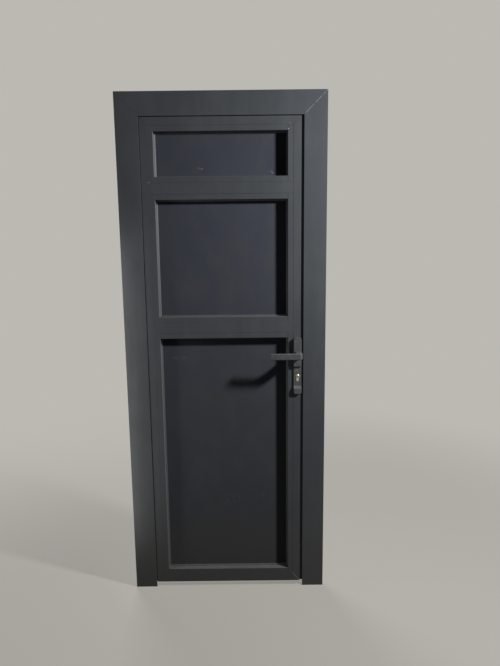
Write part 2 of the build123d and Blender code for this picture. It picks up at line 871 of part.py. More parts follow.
def bolt_openings(x0, x1):
    """The holes in the faceplate and the case front that the latch and the dead bolt pass through."""
    half = latch_width / 2 + bolt_clearance
    gap = bolt_clearance
    latch_hole = block(x0, x1, -half, half, latch_bottom - gap, latch_top + gap)
    bolt_hole = block(x0, x1, -half, half, dead_bolt_bottom - gap, dead_bolt_top + gap)
    return latch_hole + bolt_hole


cylinder_screw_z = cylinder_z - cylinder_screw_drop
screw_bore = screw_shank_radius + screw_hole_clearance
case -= bolt_openings(body_right - case_wall - past, body_right + past)
case -= rod_x(spindle_x, body_right + past, 0, cylinder_screw_z, screw_bore)
save("lock_case", case)

faceplate = block(
    body_right,
    faceplate_front,
    -half_faceplate,
    half_faceplate,
    faceplate_bottom,
    faceplate_top,
)
faceplate = fillet(faceplate.edges().filter_by(Axis.X), faceplate_corner_radius)
faceplate -= bolt_openings(body_right - past, faceplate_front + past)
for place in (*faceplate_screws, (faceplate_front, 0, cylinder_screw_z)):
    faceplate -= screw_hole(place, to_the_left)
save("lock_faceplate", faceplate)
save("faceplate_screws", *[screw(place, to_the_left) for place in faceplate_screws])

# Latch with its sloping face, and the tail that the follower's arm pushes
latch_tip = faceplate_front + latch_stroke
latch_heel = latch_tip - latch_head_length
half_latch = latch_width / 2
half_turn = radians(lever_turn / 2)
arm_radius = latch_stroke / (2 * sin(half_turn))
arm_x = spindle_x + arm_radius * sin(half_turn)
latch_outline = Polyline(
    (latch_heel, -half_latch),
    (faceplate_front + latch_slope_start, -half_latch),
    (latch_tip, half_latch - latch_tip_flat),
    (latch_tip, half_latch),
    (latch_heel, half_latch),
    close=True,
)
latch = prism_z(make_face(latch_outline), latch_bottom, latch_top)
slot_half = follower_arm_tip_radius + follower_slot_clearance
slot_top = spindle_height + arm_radius + follower_arm_tip_radius + follower_slot_top_clearance
half_tail = latch_tail_width / 2
slot_left = arm_x - slot_half
slot_right = arm_x + slot_half
tail_left = slot_left - latch_tail_wall
tail = block(tail_left, latch_heel, -half_tail, half_tail, latch_tail_bottom, latch_tail_top)
tail_cut = half_tail + past
tail -= block(slot_left, slot_right, -tail_cut, tail_cut, latch_tail_bottom - past, slot_top)
save("latch_bolt", latch + tail)

# Dead bolt, with a foot that reaches down to just above the cylinder's cam
bolt_front = faceplate_front - dead_bolt_inset
bolt_rear = bolt_front - dead_bolt_length
half_cam = cam_thickness / 2
dead_bolt = block(bolt_rear, bolt_front, -half_latch, half_latch, dead_bolt_bottom, dead_bolt_top)
foot_bottom = cylinder_z + cam_radius + cam_to_bolt_clearance
foot_front = bolt_rear + cylinder_leg_width
dead_bolt += block(bolt_rear, foot_front, -half_cam, half_cam, foot_bottom, dead_bolt_bottom)
save("dead_bolt", dead_bolt)

# Follower, turned by the spindle, with the arm that draws the latch back
follower = rod_y(spindle_x, -half_case, half_case, spindle_height, follower_radius)
half_arm = follower_arm_thickness / 2
arm_half = follower_arm_half_width
arm = block(-arm_half, arm_half, -half_arm, half_arm, 0, arm_radius)
arm += rod_y(0, -half_arm, half_arm, arm_radius, follower_arm_tip_radius)
follower += Pos(spindle_x, 0, spindle_height) * Rot(0, lever_turn / 2, 0) * arm


def square_bar(half, y0, y1):
    """A square bar along Y on the spindle's axis, with half of its side given."""
    low = spindle_height - half
    high = spindle_height + half
    return block(spindle_x - half, spindle_x + half, y0, y1, low, high)


square_hole = spindle_side / 2 + spindle_clearance
follower -= square_bar(square_hole, -case_cut, case_cut)
save("follower", follower)
save("spindle", square_bar(spindle_side / 2, -spindle_half_length, spindle_half_length))

# Cylinder body, its two plugs and the cam between them
body = cylinder_prism(0, -cylinder_half_length, cylinder_half_length)
cylinder_end = cylinder_half_length + past
plug_bore = plug_radius + running_clearance
body -= rod_y(spindle_x, -cylinder_end, cylinder_end, cylinder_z, plug_bore)
body -= block(
    spindle_x - cam_radius - past,
    spindle_x + cam_radius + past,
    -cam_slot / 2,
    cam_slot / 2,
    cylinder_z - cam_radius - cam_slot_clearance,
    cylinder_z + cam_radius + past,
)
leg_left = spindle_x - cylinder_leg_width
leg_right = spindle_x + cylinder_leg_width
body -= rod_x(leg_left, leg_right, 0, cylinder_screw_z, screw_bore)
save("cylinder_body", body)

cylinder_screw_length = faceplate_front - spindle_x + cylinder_leg_width / 2
save("cylinder_screw", screw((faceplate_front, 0, cylinder_screw_z), to_the_left, cylinder_screw_length))


def plug(side):
    """One plug of the cylinder with its key slot, on the front for side -1 and on the back for side 1."""
    inner = side * (half_cam + plug_end_gap)
    outer = side * cylinder_half_length
    y0, y1 = sorted((inner, outer))
    turned = rod_y(spindle_x, y0, y1, cylinder_z, plug_radius)
    slot0, slot1 = sorted((outer - side * keyway_depth, outer + side))
    keyway = block(
        spindle_x - keyway_width / 2,
        spindle_x + keyway_width / 2,
        slot0,
        slot1,
        cylinder_z - keyway_height / 2 - keyway_drop,
        cylinder_z + keyway_height / 2 - keyway_drop,
    )
    return turned - keyway


save("front_plug", plug(-1))
save("back_plug", plug(1))
cam = rod_y(spindle_x, -half_cam, half_cam, cylinder_z, cam_hub_radius)
lug = block(
    spindle_x - cam_lug_width / 2,
    spindle_x + cam_lug_width / 2,
    -half_cam,
    half_cam,
    cylinder_z - cam_radius,
    cylinder_z,
)
sweep_circle = rod_y(spindle_x, -half_cam, half_cam, cylinder_z, cam_radius)
save("cam", cam + (lug & sweep_circle))


# Handle plates: a thin middle round the cylinder, with thicker ends above and below it
def plate_section():
    """The plate's side view: depth out from the door to the right, height upwards."""
    base = plate_base_thickness
    pad = plate_pad_thickness
    return [
        (0, plate_bottom),
        (pad, plate_bottom),
        (pad, lower_pad_top),
        (base, lower_pad_top + pad_slope),
        (base, upper_pad_bottom),
        (pad, upper_pad_bottom + pad_step),
        (pad, plate_top),
        (0, plate_top),
    ]


def front_plate():
    """The plate on the front face, before its bores."""
    points = [(leaf_front - depth, z) for depth, z in plate_section()]
    outline = Plane.YZ * Polyline(*points, close=True)
    half = plate_width / 2
    plate = Pos(spindle_x - half, 0, 0) * extrude(make_face(outline), plate_width, dir=(1, 0, 0))
    plate = fillet(plate.edges().filter_by(Axis.Y).group_by(Axis.Z)[0], plate_corner_radius)
    plate = fillet(plate.edges().filter_by(Axis.Y).group_by(Axis.Z)[-1], plate_corner_radius)
    for pad in plate.faces().filter_by(Axis.Y).group_by(Axis.Y)[0]:
        plate = fillet(pad.edges(), plate_edge_radius)
    return plate


front = front_plate()
pad_front = leaf_front - plate_pad_thickness
groove = block(
    spindle_x - plate_width / 2 - past,
    spindle_x + plate_width / 2 + past,
    pad_front - past,
    pad_front + plate_groove_size,
    plate_groove_height - plate_groove_size / 2,
    plate_groove_height + plate_groove_size / 2,
)
front -= groove
bearing_bore = lever_bearing_radius + running_clearance
front -= rod_y(spindle_x, pad_front - past, leaf_front + past, spindle_height, bearing_bore)
front -= cylinder_prism(cylinder_clearance, pad_front - past, leaf_front + past)
back = mirror(front, about=Plane.XZ)
front -= screw_hole(*plate_screws[0])
back -= screw_hole(*plate_screws[1])
pad_back = -pad_front
head_seat = pad_back - screw_head_depth
head_bore = screw_head_radius + screw_hole_clearance
for height in plate_fixing_heights:
    front += rod_y(spindle_x, leaf_front, -plate_stud_radius, height, plate_stud_radius)
    front -= rod_y(spindle_x, leaf_front, 0, height, screw_bore)
    back -= rod_y(spindle_x, leaf_back - past, pad_back + past, height, screw_bore)
    back -= rod_y(spindle_x, head_seat, pad_back + past, height, head_bore)
save("front_handle_plate", front)
save("back_handle_plate", back)


def plate_bolt(height):
    """A long bolt through the back plate and the stile into the front plate's stud."""
    head = rod_y(spindle_x, head_seat, pad_back, height, screw_head_radius)
    shank = rod_y(spindle_x, leaf_front + plate_bolt_end_gap, head_seat, height, screw_shank_radius)
    half_slot = screw_recess_width / 2
    slot = block(
        spindle_x - half_slot,
        spindle_x + half_slot,
        pad_back - screw_recess_depth,
        pad_back + past,
        height - screw_head_radius,
        height + screw_head_radius,
    )
    return head + shank - slot


plate_bolts = [plate_bolt(height) for height in plate_fixing_heights]
save("plate_screws", *[screw(*place) for place in plate_screws], *plate_bolts)


# Levers: a neck that comes straight out of the plate and bends into a flat bar
def front_lever():
    """The lever on the front face, drawn from above and given its height."""
    y_plate = pad_front - lever_gap
    y_out = leaf_front - lever_projection
    y_in = y_out + lever_bar_thickness
    x_tip = spindle_x - lever_length
    x_return = x_tip + lever_tip_length
    outer = lever_outer_bend
    inner = lever_inner_bend
    right = spindle_x + lever_neck_right
    left = spindle_x - lever_neck_left
    tip_out = y_out + lever_tip_return
    tip_in = y_in + lever_tip_return
    outline = [
        Line((left, y_plate), (right, y_plate)),
        Line((right, y_plate), (right, y_out + outer)),
        RadiusArc((right, y_out + outer), (right - outer, y_out), outer),
        Line((right - outer, y_out), (x_return, y_out)),
        Line((x_return, y_out), (x_tip, tip_out)),
        Line((x_tip, tip_out), (x_tip, tip_in)),
        Line((x_tip, tip_in), (x_return, y_in)),
        Line((x_return, y_in), (left - inner, y_in)),
        RadiusArc((left - inner, y_in), (left, y_in + inner), -inner),
        Line((left, y_in + inner), (left, y_plate)),
    ]
    face = make_face(Wire(outline))
    low = spindle_height - lever_height / 2
    lever = prism_z(face, low, low + lever_height)
    rims = lever.faces().sort_by(Axis.Z)
    edges = rims[0].edges() + rims[-1].edges()
    y_kept = y_plate - lever_edge_radius
    lever = fillet([edge for edge in edges if edge.center().Y < y_kept], lever_edge_radius)
    bearing_end = leaf_front - lever_bearing_gap
    lever += rod_y(spindle_x, y_plate, bearing_end, spindle_height, lever_bearing_radius)
    return lever - square_bar(square_hole, -spindle_half_length - past, leaf_front)


lever = front_lever()
save("front_lever", lever)
save("back_lever", mirror(lever, about=Plane.XZ))
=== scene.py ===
import bpy
import numpy as np
from mathutils import Matrix, Vector


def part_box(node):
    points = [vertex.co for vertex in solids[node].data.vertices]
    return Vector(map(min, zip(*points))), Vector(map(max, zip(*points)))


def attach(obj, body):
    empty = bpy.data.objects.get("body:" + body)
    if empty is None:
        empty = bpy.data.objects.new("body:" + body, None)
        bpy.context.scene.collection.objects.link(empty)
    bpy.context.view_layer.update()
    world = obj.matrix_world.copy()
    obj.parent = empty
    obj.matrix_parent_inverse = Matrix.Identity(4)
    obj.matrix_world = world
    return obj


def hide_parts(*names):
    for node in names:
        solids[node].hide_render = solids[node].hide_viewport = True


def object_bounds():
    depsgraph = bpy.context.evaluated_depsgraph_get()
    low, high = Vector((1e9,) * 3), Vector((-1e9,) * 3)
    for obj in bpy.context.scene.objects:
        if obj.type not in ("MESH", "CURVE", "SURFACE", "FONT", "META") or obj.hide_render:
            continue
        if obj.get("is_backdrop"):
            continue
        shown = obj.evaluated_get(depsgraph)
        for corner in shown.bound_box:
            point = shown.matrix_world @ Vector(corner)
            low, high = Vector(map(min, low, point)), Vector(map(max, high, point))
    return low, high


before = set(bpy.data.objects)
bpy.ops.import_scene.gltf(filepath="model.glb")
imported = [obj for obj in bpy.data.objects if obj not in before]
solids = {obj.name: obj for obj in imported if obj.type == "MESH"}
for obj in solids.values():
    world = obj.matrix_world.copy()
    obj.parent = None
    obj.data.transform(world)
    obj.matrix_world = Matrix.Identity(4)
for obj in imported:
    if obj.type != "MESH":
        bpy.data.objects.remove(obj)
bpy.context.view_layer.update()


# Frame profiles
# Two jambs and a head, cut from one hollow aluminium extrusion and mitred at the top corners. They are
# powder coated in a fine matt dark grey that is slightly uneven and dusty near the floor, and a pale
# filler shows in the right mitre.
class Value:
    """A shader socket that takes part in sums: each operator adds one Math node."""

    def __init__(self, recipe, socket):
        self.recipe = recipe
        self.socket = socket

    def math(self, operation, *others):
        sockets = dict(enumerate((self, *others)))
        return self.recipe.node("ShaderNodeMath", {"operation": operation}, sockets)

    def __add__(self, other):
        return self.math("ADD", other)

    def __sub__(self, other):
        return self.math("SUBTRACT", other)

    def __rsub__(self, other):
        return self.math("MULTIPLY_ADD", -1.0, other)

    def __mul__(self, other):
        return self.math("MULTIPLY", other)

    def __truediv__(self, other):
        return self.math("DIVIDE", other)

    def __rtruediv__(self, other):
        return self.math("POWER", -1.0) * other

    def __abs__(self):
        return self.math("ABSOLUTE")

    __radd__ = __add__
    __rmul__ = __mul__

    def ramp(self, start, end):
        """0 before start, 1 after end and smooth between them; end may be the smaller one."""
        settings = {"interpolation_type": "SMOOTHSTEP"}
        return self.recipe.node("ShaderNodeMapRange", settings, {0: self, 1: start, 2: end, 3: 0.0, 4: 1.0})

    def near(self, place, reach):
        """1 at a place and 0 from reach away, with a smooth fall."""
        return abs(self - place).ramp(reach, reach * 0.35)

    def most(self, other):
        return self.math("MAXIMUM", other)


class Recipe:
    """The nodes of one material or of the world."""

    def __init__(self, owner):
        owner.use_nodes = True
        self.tree = owner.node_tree

    def node(self, kind, settings=None, sockets=None, output=0):
        """A node of one kind: its settings are set first, then the values or links of its sockets."""
        made = self.tree.nodes.new(kind)
        for name, value in (settings or {}).items():
            setattr(made, name, value)
        for key, value in (sockets or {}).items():
            if isinstance(value, Value):
                self.tree.links.new(value.socket, made.inputs[key])
            else:
                made.inputs[key].default_value = value
        return Value(self, made.outputs[output])


class Finish(Recipe):
    """One material, built from nodes that read the object's own coordinates in metres."""

    def __init__(self, name):
        self.material = bpy.data.materials.new(name)
        super().__init__(self.material)
        self.shader = self.tree.nodes["Principled BSDF"]
        self.place = self.node("ShaderNodeTexCoord", output="Object")
        self.x, self.y, self.z = self.parts(self.place, "XYZ")
        facing = self.node("ShaderNodeTexCoord", output="Normal")
        self.sideways, self.up = self.parts(facing, "XZ")

    def parts(self, vector, axes):
        """A vector's parts along the given axes."""
        return [self.node("ShaderNodeSeparateXYZ", {}, {0: vector}, axis) for axis in axes]

    def noise(self, size, detail=2.0, stretch=(1, 1, 1), shift=(0, 0, 0)):
        """Cloudy noise from 0 to 1 whose lumps are about size metres across, longer along the stretch."""
        scale = tuple(1 / part for part in stretch)
        place = self.node("ShaderNodeMapping", {}, {0: self.place, 1: shift, 3: scale})
        return self.node("ShaderNodeTexNoise", {}, {"Vector": place, "Scale": 1 / size, "Detail": detail})

    def spots(self, spacing, radius, shift=(0, 0, 0)):
        """Scattered round spots, one in each cell of the given spacing."""
        place = self.node("ShaderNodeMapping", {}, {0: self.place, 1: shift})
        gap = self.node("ShaderNodeTexVoronoi", {}, {"Vector": place, "Scale": 1 / spacing}, "Distance")
        return gap.ramp(radius / spacing, radius * 0.4 / spacing)

    def marks(self, corner, places):
        """The strongest of several soft ellipses on the door's face. Each is listed as its distance across
        and up from a corner, its half width and half height, its turn in degrees and its strength."""
        strongest = 0.0
        for over, above, half_width, half_height, turn, strength in places:
            cosine, sine = np.cos(np.radians(turn)), np.sin(np.radians(turn))
            x = self.x - (corner.x + over)
            z = self.z - (corner.z + above)
            across = (x * cosine + z * sine) / half_width
            up = (z * cosine - x * sine) / half_height
            mark = (across * across + up * up).ramp(1.0, 0.2) * strength
            strongest = mark.most(strongest)
        return strongest

    def mix(self, share, first, second):
        """The first colour where the share is 0 and the second where it is 1."""
        settings = {"data_type": "RGBA"}
        return self.node("ShaderNodeMix", settings, {0: share, 6: first, 7: second}, 2)

    def close(self, colour, roughness, height=None, depth=0.0, metallic=0.0, **constants):
        """Feeds the shader: a height map of the given depth in metres turns into bump."""
        feeds = {"Base Color": colour, "Roughness": roughness, "Metallic": metallic, **constants}
        if height is not None:
            feeds["Normal"] = self.node("ShaderNodeBump", {}, {"Height": height, "Distance": depth})
        for name, value in feeds.items():
            if isinstance(value, Value):
                self.tree.links.new(value.socket, self.shader.inputs[name.replace("_", " ")])
            else:
                self.shader.inputs[name.replace("_", " ")].default_value = value
        return self.material


def shade(red, green, blue):
    """A colour given as it looks on a screen, from 0 to 255, turned into light."""
    parts = (np.array((red, green, blue)) / 255 + 0.055) / 1.055
    return (*(parts**2.4), 1.0)


def put_on(material, *names):
    """Gives CAD nodes a material on every slot."""
    for name in names:
        for slot in solids[name].material_slots:
            slot.material = material


dark_grey = shade(54, 58, 63)
worn_grey = shade(70, 74, 78)
# A paler grey, painted on faces that a lamp lights more strongly: painted light.
painted_light_grey = shade(80, 84, 88)
gap_black = shade(12, 13, 14)
raw_metal = shade(196, 194, 188)
dust = shade(148, 144, 136)
dust_film = shade(68, 66, 62)
film_height = 0.70
peel_depth = 0.00003
joint_sink = 6.0


def powder_coat(finish, lines=None, chips=None, painted_light=None):
    """A matt powder coat with orange peel, broad unevenness, dust on upward faces and a dusty film low down.
    Lines are dark joints sunk into it, chips show bare metal, and it is painted paler, as a painted
    highlight, on faces that a lamp lights more strongly."""
    broad = finish.noise(0.22, detail=3.0, stretch=(1, 1, 2.4))
    wiped = finish.noise(0.03, stretch=(1, 1, 14), shift=(3.1, 0, 0))
    hazy = finish.noise(0.06, detail=3.0, stretch=(1, 1, 1.5), shift=(4, 0, 9))
    peel = finish.noise(0.0011, detail=1.0)
    grain = finish.noise(0.0004, detail=1.0, shift=(0, 7, 0))
    pits = finish.spots(0.09, 0.0007, shift=(0.3, 0.1, 0.7))
    cloudy = 0.6 + finish.noise(0.05, detail=4.0).ramp(0.3, 0.8) * 0.4
    settled = finish.up.ramp(0.70, 0.98) * cloudy
    film = finish.z.ramp(film_height, 0.0) * cloudy * (1 - settled)
    wear = (broad * 0.5 + wiped * 0.2 + hazy * 0.3).ramp(0.42, 0.64) * 0.34
    colour = finish.mix(wear, dark_grey, worn_grey)
    colour = finish.mix(grain.ramp(0.62, 0.80) * 0.18, colour, worn_grey)
    # Painted light: faces that catch more light are mixed towards a paler grey.
    if painted_light is not None:
        colour = finish.mix(painted_light, colour, painted_light_grey)
    colour = finish.mix(pits * 0.5, colour, raw_metal)
    colour = finish.mix(film * 0.55, colour, dust_film)
    colour = finish.mix(settled * 0.15, colour, dust)
    height = peel * 0.8 + grain * 0.2
    if lines is not None:
        colour = finish.mix(lines, colour, gap_black)
        height = height - lines * joint_sink
    if chips is not None:
        colour = finish.mix(chips, colour, raw_metal)
    roughness = 0.50 + broad * 0.10 + settled * 0.2
    return finish.close(colour, roughness, height, peel_depth, Specular_IOR_Level=0.22)


frame_paint = Finish("frame_powder_coat")
opening_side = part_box("right_jamb")[0].x
opening_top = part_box("frame_head")[0].z
mitre_gap = 0.0009
middle_blend = 0.01
past_side = abs(frame_paint.x) - opening_side
past_top = frame_paint.z - opening_top
mitre = (past_side - past_top).near(0.0, mitre_gap) * past_top.ramp(-0.001, 0.0)
filled = mitre * frame_paint.x.ramp(0.0, middle_blend) * frame_paint.noise(0.012).ramp(0.35, 0.5)
put_on(powder_coat(frame_paint, mitre * 0.8, filled * 0.55), "left_jamb", "right_jamb", "frame_head")


# Frame seal
# A soft black rubber strip in the groove behind the stop wing, up one jamb, across the head and down the
# other. A foot holds it in the groove and a hollow bulb closes against the step round the leaf.
def piece(name, points, faces, body, material, stands_for):
    """A finished mesh with its normals outwards and round parts smooth, riding on a body."""
    mesh = bpy.data.meshes.new(name)
    mesh.from_pydata(points.tolist(), [], faces)
    mesh.validate()
    three_volumes = sum(face.center.dot(face.normal) * face.area for face in mesh.polygons)
    if three_volumes < 0:
        mesh.flip_normals()
    mesh.shade_smooth()
    mesh.set_sharp_from_angle(angle=np.radians(35))
    mesh.materials.append(material)
    made = bpy.data.objects.new(name, mesh)
    bpy.context.scene.collection.objects.link(made)
    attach(made, body)
    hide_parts(stands_for)


def carried(name, outline, corners, body, material, stands_for, closed=False):
    """An outline carried from corner to corner: point = corner + u * outward + v along Y. Each corner is
    x, z and how far x and z move for one unit of u, so that corners are mitred. Open ends are capped."""
    outline = np.array(outline, float)
    corners = np.array(corners, float)
    count, steps = len(corners), len(outline)
    points = np.zeros((count, steps, 3))
    points[..., 0] = corners[:, None, 0] + corners[:, None, 2] * outline[None, :, 0]
    points[..., 1] = outline[None, :, 1]
    points[..., 2] = corners[:, None, 1] + corners[:, None, 3] * outline[None, :, 0]
    spans = count if closed else count - 1
    ring, step = np.meshgrid(np.arange(spans), np.arange(steps), indexing="ij")
    here = ring * steps
    there = (ring + 1) % count * steps
    along = (step + 1) % steps
    quads = np.stack([here + step, there + step, there + along, here + along], -1)
    faces = quads.reshape(-1, 4).tolist()
    if not closed:
        cap = np.arange(steps)
        faces.append(cap.tolist())
        faces.append((cap[::-1] + (count - 1) * steps).tolist())
    piece(name, points.reshape(-1, 3), faces, body, material, stands_for)


def bulb(centre, start, end, half_width):
    """The outline of a soft lip: straight sides from the start and half a circle at the end."""
    turn = np.linspace(0, np.pi, 9)
    side = np.sign(end - start)
    u = centre + half_width * np.cos(turn)
    v = end - side * half_width * (1 - np.sin(turn))
    return [(centre + half_width, start), *zip(u, v), (centre - half_width, start)]


rubber = Finish("seal_rubber")
fresh_rubber = shade(16, 16, 17)
bloomed_rubber = shade(52, 51, 49)
rubber_grain_depth = 0.00004
bloom = rubber.noise(0.02, detail=4.0, stretch=(1, 1, 6)).ramp(0.35, 0.8)
rubber_colour = rubber.mix(bloom * 0.4, fresh_rubber, bloomed_rubber)
rubber_black = rubber.close(rubber_colour, 0.62 + bloom * 0.2, rubber.noise(0.0006), rubber_grain_depth)

seal_width = 0.005
bulb_half_width = 0.0018
frame_rib = 0.0037
seal_low, seal_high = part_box("frame_seal")
rib_back = seal_low.y + frame_rib
frame_seal_outline = [
    (0.0, seal_low.y),
    (seal_width, seal_low.y),
    (seal_width, rib_back),
    *bulb(seal_width / 2, rib_back, seal_high.y, bulb_half_width),
    (0.0, rib_back),
]
frame_seal_corners = [
    (-seal_high.x, seal_low.z, 1, 0),
    (-seal_high.x, seal_high.z, 1, -1),
    (seal_high.x, seal_high.z, -1, -1),
    (seal_high.x, seal_low.z, -1, 0),
]
carried("frame_rubber_seal", frame_seal_outline, frame_seal_corners, "frame", rubber_black, "frame_seal")


# Leaf profiles
# Two stiles and four rails of a stepped hollow extrusion, mitred at the outer corners and butted in the
# middle, in the same powder coat. Hands have rubbed it near the lock, specks of bare metal show at a few
# joints, and the lower right mitre stands slightly open.
leaf_paint = Finish("leaf_powder_coat")
bead_gap = 0.0003
stile_face = 0.031
top_rail_face = 0.032
leaf_mitre_share = 0.03
open_mitre_share = 0.05
joint_blend = 0.02
bead_low, bead_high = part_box("top_side_beads")
tube_left = bead_low.x - bead_gap
tube_right = bead_high.x + bead_gap
tube_top = bead_high.z + bead_gap
tube_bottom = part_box("bottom_side_beads")[0].z - bead_gap
bottom_rail_face = tube_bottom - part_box("bottom_rail")[0].z
leaf_middle = (tube_left + tube_right) / 2
side_share = (abs(leaf_paint.x - leaf_middle) - (tube_right - leaf_middle)) / stile_face
top_share = (leaf_paint.z - tube_top) / top_rail_face
low_share = (tube_bottom - leaf_paint.z) / bottom_rail_face
upper_mitres = (side_share - top_share).near(0.0, leaf_mitre_share) * top_share.ramp(-joint_blend, 0.0)
lower_mitres = (side_share - low_share).near(0.0, leaf_mitre_share) * low_share.ramp(-joint_blend, 0.0)
open_mitre = (side_share - low_share).near(0.0, open_mitre_share) * low_share.ramp(-joint_blend, 0.0)
open_mitre = open_mitre * leaf_paint.x.ramp(0.0, middle_blend) * leaf_paint.noise(0.009).ramp(0.30, 0.50)
plate_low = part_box("front_handle_plate")[0]
rubbed = leaf_paint.marks(plate_low, [(0.0145, 0.132, 0.03, 0.16, 0, 0.05)])
rubbed = rubbed * leaf_paint.noise(0.01, detail=3.0).ramp(0.45, 0.7)
left_specks = [
    (-0.0028, 0.0007, 0.0014, 0.0011, 0, 0.6),
    (-0.0003, -0.0456, 0.0014, 0.0012, 0, 0.25),
]
right_specks = [(-0.0137, 0.0033, 0.0030, 0.0030, 0, 0.12)]
specks = leaf_paint.marks(bead_low, left_specks).most(leaf_paint.marks(bead_high, right_specks))
stile_low, stile_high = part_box("right_stile")
leaf_depth = (stile_low.y + stile_high.y) / 2
leaf_depth_blend = 0.005
leaf_front_side = leaf_paint.y.ramp(leaf_depth, leaf_depth - leaf_depth_blend)
leaf_lines = upper_mitres.most(lower_mitres) * 0.75
leaf_chips = rubbed.most(open_mitre * 0.5).most(specks) * leaf_front_side
put_on(
    powder_coat(leaf_paint, leaf_lines, leaf_chips),
    "left_stile",
    "right_stile",
    "top_rail",
    "bottom_rail",
    "upper_rail",
    "lower_rail",
)


# Leaf seal
# The same kind of rubber strip in the groove of the leaf's lip, all the way round but for the bottom. Its
# bulb closes against the back of the frame.
lip_rib = 0.0017
lip_low, lip_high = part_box("leaf_seal")
lip_rib_front = lip_high.y - lip_rib
leaf_seal_outline = [
    (0.0, lip_high.y),
    (seal_width, lip_high.y),
    (seal_width, lip_rib_front),
    *bulb(seal_width / 2, lip_rib_front, lip_low.y, bulb_half_width),
    (0.0, lip_rib_front),
]
leaf_seal_corners = [
    (lip_low.x, lip_low.z, 1, 0),
    (lip_low.x, lip_high.z, 1, -1),
    (lip_high.x, lip_high.z, -1, -1),
    (lip_high.x, lip_low.z, -1, 0),
]
carried("leaf_rubber_seal", leaf_seal_outline, leaf_seal_corners, "leaf", rubber_black, "leaf_seal")


# Panels
# Three sandwich panels with a smooth satin skin, a little bluer and darker than the profiles. They carry
# wiped places and fine dust, and on the front also fingermarks and short streaks. Near the floor they turn
# lighter and warmer, partly from dust and partly from a painted reflection of the floor.
panel_skin = Finish("panel_satin")
blue_grey = shade(54, 58, 67)
blue_haze = shade(59, 61, 73)
warm_grey = shade(56, 60, 66)
lean_grey = shade(58, 60, 63)
wiped_grey = shade(62, 64, 69)
dust_and_reflection_grey = shade(66, 65, 64)
finger_grey = shade(150, 152, 156)
fingermarks = [
    (0.092, 0.9755, 0.045, 0.012, 0, 1.0),
    (0.299, 0.3355, 0.068, 0.036, 20, 0.6),
    (0.438, 0.3535, 0.012, 0.010, 0, 1.0),
]
short_streaks = [
    (0.190, 0.0535, 0.009, 0.0035, -25, 1.0),
    (0.204, 0.0505, 0.011, 0.0030, 15, 1.0),
    (0.486, 0.0355, 0.013, 0.0030, -38, 1.0),
    (0.471, 0.0385, 0.012, 0.0030, 10, 0.4),
]
dust_and_reflection_end = 0.40
dust_and_reflection_full = 0.16
lean_end = 1.25
lean_full = 0.55
panel_low, panel_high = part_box("top_panel")
panel_depth = (panel_low.y + panel_high.y) / 2
panel_depth_blend = 0.004
panel_front_side = panel_skin.y.ramp(panel_depth, panel_depth - panel_depth_blend)
cloud = panel_skin.noise(0.26, stretch=(1, 1, 2))
drift = panel_skin.noise(0.17, stretch=(1, 1, 2.5), shift=(0.7, 0, 0.4))
wipes = panel_skin.noise(0.07, detail=3.0, stretch=(1, 1, 1.6), shift=(5, 0, 2))
hand = panel_skin.noise(0.014, detail=4.0, shift=(2, 0, 5)).ramp(0.42, 0.62)
motes = panel_skin.spots(0.045, 0.0005, shift=(0.2, 0.4, 0.1))
fingers = panel_skin.marks(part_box("bottom_panel")[0], fingermarks)
streaks = panel_skin.marks(panel_low, short_streaks)
pale = (fingers * hand * 0.045 + streaks * (0.4 + hand * 0.6) * 0.22) * panel_front_side
# Partly dust and partly a painted reflection of the floor: the panels turn lighter and warmer near the floor.
low_dust_and_reflection = panel_skin.z.ramp(dust_and_reflection_end, dust_and_reflection_full) * (0.7 + cloud * 0.3)
panel_colour = panel_skin.mix(cloud.ramp(0.35, 0.75) * 0.6, blue_grey, blue_haze)
panel_colour = panel_skin.mix(drift.ramp(0.42, 0.62) * 0.7, panel_colour, warm_grey)
panel_colour = panel_skin.mix(panel_skin.z.ramp(lean_end, lean_full) * 0.7, panel_colour, lean_grey)
panel_colour = panel_skin.mix(wipes.ramp(0.40, 0.66) * 0.45, panel_colour, wiped_grey)
panel_colour = panel_skin.mix(low_dust_and_reflection * 0.75, panel_colour, dust_and_reflection_grey)
panel_colour = panel_skin.mix(pale, panel_colour, finger_grey)
panel_colour = panel_skin.mix(motes * 0.4, panel_colour, dust)
panel_roughness = 0.36 + cloud * 0.06 + pale * 0.5 + low_dust_and_reflection * 0.2
waviness = panel_skin.noise(0.0016, detail=1.0) * 0.4 + panel_skin.noise(0.06, detail=1.0) * 0.6
panel_look = panel_skin.close(panel_colour, panel_roughness, waviness, peel_depth, Specular_IOR_Level=0.03)
put_on(panel_look, "top_panel", "middle_panel", "bottom_panel")


# Glazing beads
# Snap-in beads that hold each panel, full height at the sides and cut between them above and below. Their cut
# ends show bare metal at two corners, their inner sides are painted paler as a painted highlight for the
# stronger light on them, and dust lies on the lower ones.
bead_paint = Finish("bead_powder_coat")
low_end = [(0.0007, 0.0, 0.0022, 0.0016, 0, 0.9)]
high_end = [(-0.0197, -0.0165, 0.0022, 0.0016, 0, 0.9)]
bare_ends = bead_paint.marks(bead_low, low_end).most(bead_paint.marks(bead_high, high_end))
# Painted highlight: the inner sides, which face sideways, are painted paler for the stronger light on them.
lit_inner_sides = abs(bead_paint.sideways).ramp(0.90, 0.98) * 0.85
put_on(
    powder_coat(bead_paint, chips=bare_ends, painted_light=lit_inner_sides),
    *(f"{name}_{kind}_beads" for name in ("top", "middle", "bottom") for kind in ("side", "cross")),
)


